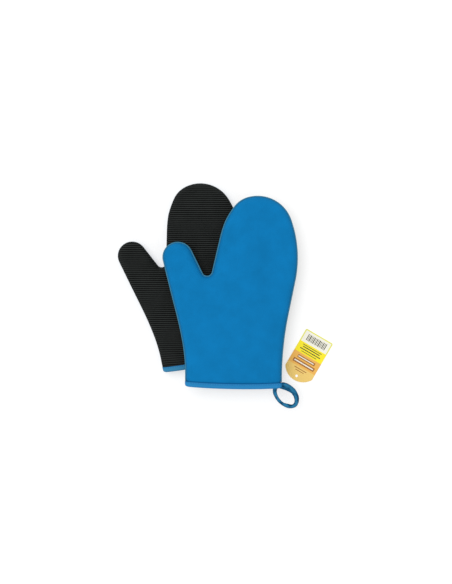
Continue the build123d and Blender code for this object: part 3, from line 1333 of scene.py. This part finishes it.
    def build_loop(self) -> None:
        """Makes the loop of folded tape: two layers, crumpled, with a row of stitches."""
        path = self.loop_path()
        last = len(path) - 1
        seed = self.loop_seeds[0 if self.maker.lie.side is Side.RIGHT else 1]
        sign = 1.0 if self.maker.lie.palm_up else -1.0
        centre = sum(path, Vector()) / len(path)
        frames, widths = [], []
        for k, p in enumerate(path):
            along = heading(path, k)
            out = Vector((along.y, -along.x, 0))
            out = out if out.dot(p - centre) > 0 else -out
            share = k / last
            free = math.sin(math.pi * share)
            ripple = noise.noise(Vector((share * 7, seed, 0)))
            twist = math.radians(38) * noise.noise(Vector((share * 5, seed, 4))) * free
            turn = facing(out, out.cross(along) * -1, along)
            drop = Vector((0, 0, -sign * self.loop_droop * free**0.8 + 1.4 * ripple * free))
            shift = out * (1.2 * noise.noise(Vector((share * 6, seed, 8))) * free)
            frames.append(Matrix.Translation(p + drop + shift) @ turn @ Matrix.Rotation(twist, 4, "Z"))
            side = (p.x - centre.x + p.y - centre.y) / (2 * self.loop_half[1])
            widths.append(0.92 + 0.24 * side + 0.2 * noise.noise(Vector((share * 11, seed, 2))))
        bm = bmesh.new()
        section = rounded_section(bm, self.loop_wide, self.loop_thick, 20)
        for v in {v for e in section for v in e.verts}:
            pinch = math.exp(-((v.co.x / self.loop_wide * 2) ** 2) / 0.16)
            v.co.y *= 1 - 0.6 * pinch
        scaled = [m @ Matrix.Diagonal((w, 1.9 - w, 1, 1)) for m, w in zip(frames, widths)]
        sweep(bm, section, scaled)
        crease = bm.verts.layers.float.new("crease")
        inverse = [m.inverted() for m in frames]
        near = nearest_of([m.translation for m in frames])
        for v in bm.verts:
            k = near.find(v.co)[1]
            local = inverse[k] @ v.co
            # Painted shade along the tape's curled edges, and below, in its crumpled folds.
            rim = smooth_step((abs(local.x) / (self.loop_wide * widths[k] / 2) - 0.5) / 0.35)
            fold = max(0.0, noise.noise(Vector((k / last * 15, local.x / 3, seed))) * 2.2)
            v[crease] = min(1.0, rim * 0.75 + fold * 0.7)
            v.co += Vector((0, 0, 0.35 * noise.noise(v.co / 2.2)))
        self.sew_loop(bm, frames)
        map_cloth(bm)
        self.maker.place_piece(
            bm, "hanging_loop_tape", LOOP_TAPE, "loop_tape", "loop", 0.0, ["hanging_loop"], bowed=False
        )

    def sew_loop(self, bm: BMesh, frames: Sequence[Matrix]) -> None:
        """Lays a row of pale stitches down the middle of the loop's tape, on both of its faces."""
        for frame_of in frames[4:-4:4]:
            for face in (-1, 1):
                add_stitch(bm, frame_of @ Matrix.Translation((0, face * 0.75, 0)), (0.28, 0.3, 1.0))

    def build_loop_fold(self) -> None:
        """Makes the tape's folded under-layer, which runs beside the loop's root and into it."""
        pattern = self.maker.pattern
        corner = Vector((pattern.cuff_outer_x * pattern.size, 0, MID))
        sign = 1.0 if self.maker.lie.palm_up else -1.0
        route = [
            Vector((-2.4, 3.8, 0.0)),
            Vector((0.0, 2.6, 0.1)),
            Vector((5.0, 0.9, -0.3)),
            Vector((10.5, -1.5, -1.2)),
            Vector((15.5, -5.0, -2.2)),
            Vector((19.6, -10.0, -3.2)),
        ]
        widths = (1.0, 1.0, 1.0, 1.0, 0.85, 0.4)
        frames = []
        for k, p in enumerate(route):
            along = heading(route, k)
            beside = Vector((0, 0, sign)).cross(along).normalized()
            turn = facing(beside, along.cross(beside), along)
            place = corner + Vector((p.x, p.y, p.z * sign))
            shape = Matrix.Diagonal((widths[k], widths[k], 1, 1))
            frames.append(Matrix.Translation(place) @ turn @ Matrix.Rotation(0.1 * k, 4, "Z") @ shape)
        bm = bmesh.new()
        sweep(bm, rounded_section(bm, 3.6, 1.4, 16), frames)
        bmesh.ops.subdivide_edges(bm, edges=bm.edges, cuts=1, use_grid_fill=True, smooth=0.6)
        crease = bm.verts.layers.float.new("crease")
        # Painted shade, uneven, over the whole under-layer where it lies beneath the loop.
        for v in bm.verts:
            v[crease] = 0.7 + 0.4 * noise.noise(v.co / 3)
        map_cloth(bm)
        self.maker.place_piece(bm, "loop_fold_tape", LOOP_TAPE, "loop_tape", "loop", bowed=False)

    def build(self) -> None:
        """Makes the whole mitt."""
        self.maker.form.inflate()
        self.build_walls()
        self.build_seam()
        self.build_binding()
        self.build_loop()
        self.build_loop_fold()


# ---------------------------------------------------------------- the tag


@dataclass
class SwingTag:
    """Printed card with an arched, punched end."""

    wide: float = 45.5
    straight: float = 62.0
    arch: float = 13.0
    thick: float = 0.5
    corner_r: float = 2.0
    hole_r: float = 2.0
    hole_inset: float = 7.0
    turn: float = -30.3

    def corner(self) -> Vector:
        """Place of the card's first corner, from the CAD node's box."""
        low, high = (Vector(c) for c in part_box("swing_tag"))
        spin = Matrix.Rotation(math.radians(self.turn), 3, "Z")
        near = spin @ Vector((self.corner_r, -self.corner_r, 0)) * MM
        far = spin @ Vector((self.wide - self.corner_r, -self.corner_r, 0)) * MM
        return Vector((high.x - far.x - self.corner_r * MM, high.y - near.y - self.corner_r * MM, low.z))

    def build(self) -> None:
        """Makes the card, slightly curled."""
        bm = bmesh.new()
        half = self.wide / 2
        radius = (half**2 + self.arch**2) / (2 * self.arch)
        sweep_angle = 2 * math.asin(half / radius)
        first = bm.verts.new((0, -self.corner_r, 0))
        at = draw_arc(bm, first, (self.corner_r, -self.corner_r), -math.pi / 2, 6)
        at = draw_line(bm, at, Vector((self.wide - self.corner_r, 0, 0)))
        at = draw_arc(bm, at, (self.wide - self.corner_r, -self.corner_r), -math.pi / 2, 6)
        at = draw_line(bm, at, Vector((self.wide, -self.straight, 0)))
        at = draw_arc(bm, at, (half, -self.straight - self.arch + radius), -sweep_angle, 24)
        bmesh.ops.contextual_create(bm, geom=[at, first])
        rim = list(bm.edges)
        hole = bmesh.ops.create_circle(bm, segments=32, radius=self.hole_r)["verts"]
        eye = Vector((half, -self.straight - self.arch + self.hole_inset, 0))
        bmesh.ops.translate(bm, verts=hole, vec=eye)
        edges = rim + list({e for v in hole for e in v.link_edges})
        bmesh.ops.triangle_fill(bm, use_beauty=True, edges=edges)
        for k in range(1, 14):
            cut(bm, all_of(bm), (0, -k * 5.5, 0), (0, 1, 0))
        for k in range(1, 6):
            cut(bm, all_of(bm), (k * 7.5, 0, 0), (1, 0, 0))
        if sum(f.normal.z for f in bm.faces) < 0:
            bmesh.ops.reverse_faces(bm, faces=bm.faces)
        thicken(bm, list(bm.faces), self.thick)
        bmesh.ops.recalc_face_normals(bm, faces=bm.faces)
        card_map = bm.loops.layers.uv.new("Cloth")
        for face in bm.faces:
            for loop in face.loops:
                loop[card_map].uv = (loop.vert.co.x * MM, -loop.vert.co.y * MM)
        for v in bm.verts:
            curl = ((v.co.x - half) / half) ** 2 + (max(0.0, -v.co.y - 40) / 35) ** 2
            v.co.z += 0.5 * curl
        turn = Matrix.Rotation(math.radians(self.turn), 4, "Z")
        place = Matrix.Translation(self.corner()) @ turn @ Matrix.Scale(MM, 4)
        bmesh.ops.transform(bm, matrix=place, verts=bm.verts)
        tag = new_object(bm, "swing_tag_card", TAG_CARD)
        for polygon in tag.data.polygons:
            polygon.use_smooth = False
        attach(tag, "tag")
        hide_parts("swing_tag")
        log.info("swing tag: %d faces", len(tag.data.polygons))


# ---------------------------------------------------------------- studio


@dataclass
class Studio:
    """Plain white floor, soft light from above and the camera straight over the pair."""

    camera_height: float = 1.2
    lens: float = 49.85
    aim: tuple[float, float] = (-0.0112, 0.1414)  # from the middle of the right mitt's mouth
    sky: float = 0.62
    key: float = 1.35
    floor_size: float = 6.0

    def build(self, cuff: Vector) -> None:
        """Makes the floor, the lights and the camera.

        Args:
            cuff: The middle of the right mitt's mouth.
        """
        scene = bpy.context.scene
        scene.view_settings.view_transform = "Standard"
        self.build_floor()
        world = bpy.data.worlds.new("Soft white room")
        tree = empty_tree(world)
        rays = add_node(tree, "LightPath").outputs
        seen = compute(tree, "MAXIMUM", rays["Is Camera Ray"], rays["Is Glossy Ray"])
        seen = compute(tree, "MAXIMUM", seen, rays["Is Transmission Ray"])
        level = add_node(tree, "MapRange", Value=seen, To_Min=self.sky, To_Max=1.0)
        room = add_node(tree, "Background", Color=(1, 1, 1, 1), Strength=level.outputs[0])
        add_node(tree, "OutputWorld", Surface=room.outputs[0])
        scene.world = world
        lamp = bpy.data.lights.new("Soft box", "SUN")
        configure(lamp, energy=self.key, angle=math.radians(50))
        add_object("Soft box", lamp).rotation_euler = (math.radians(-14), math.radians(-18), 0)
        view = bpy.data.cameras.new("Overhead camera")
        configure(view, lens=self.lens, sensor_width=36.0, clip_end=10.0)
        camera = add_object("Overhead camera", view)
        camera.location = (cuff.x + self.aim[0], cuff.y + self.aim[1], self.camera_height)
        scene.camera = camera

    def build_floor(self) -> None:
        """Makes the floor: white to the camera, and still darker where the mitts shade it."""
        bm = bmesh.new()
        bmesh.ops.create_grid(bm, x_segments=1, y_segments=1, size=self.floor_size)
        floor = new_object(bm, "studio_floor", None)
        paint = bpy.data.materials.new("White studio floor")
        tree = empty_tree(paint)
        matt = add_node(tree, "BsdfDiffuse", Color=(0.9, 0.9, 0.9, 1))
        seen = add_node(tree, "BsdfDiffuse", Color=(0.55, 0.55, 0.55, 1))
        seen_by = add_node(tree, "LightPath").outputs["Is Camera Ray"]
        glow = add_node(tree, "Emission", Color=(1, 1, 1, 1), Strength=0.52)
        lifted = add_node(tree, "AddShader", i0=seen.outputs[0], i1=glow.outputs[0])
        mixed = add_node(tree, "MixShader", i0=seen_by, i1=matt.outputs[0], i2=lifted.outputs[0])
        add_node(tree, "OutputMaterial", Surface=mixed.outputs[0])
        floor.data.materials.append(paint)


def main() -> None:
    """Builds the studio, both mitts and the tag, in that order."""
    logging.basicConfig(level=logging.INFO, format="%(name)s: %(message)s")
    left = Lie.from_record(Side.LEFT, True)
    right = Lie.from_record(Side.RIGHT, False)
    Studio().build(right.cuff)
    small, full = MittPattern(size=0.95), MittPattern()
    under = np.array([(left.matrix() @ p)[:2] for p in small.footprint(SEAM)])
    Mitt(SheetMaker(small, PuffedForm(small, 3.7), left, None), DARK_SEAM, FADED_TAPE).build()
    Mitt(SheetMaker(full, PuffedForm(full, 11.3), right, Settle(under)), SEAM_WITH_PAINTED_SHEEN, CUFF_TAPE).build()
    SwingTag().build()


if __name__ == "__main__":
    main()
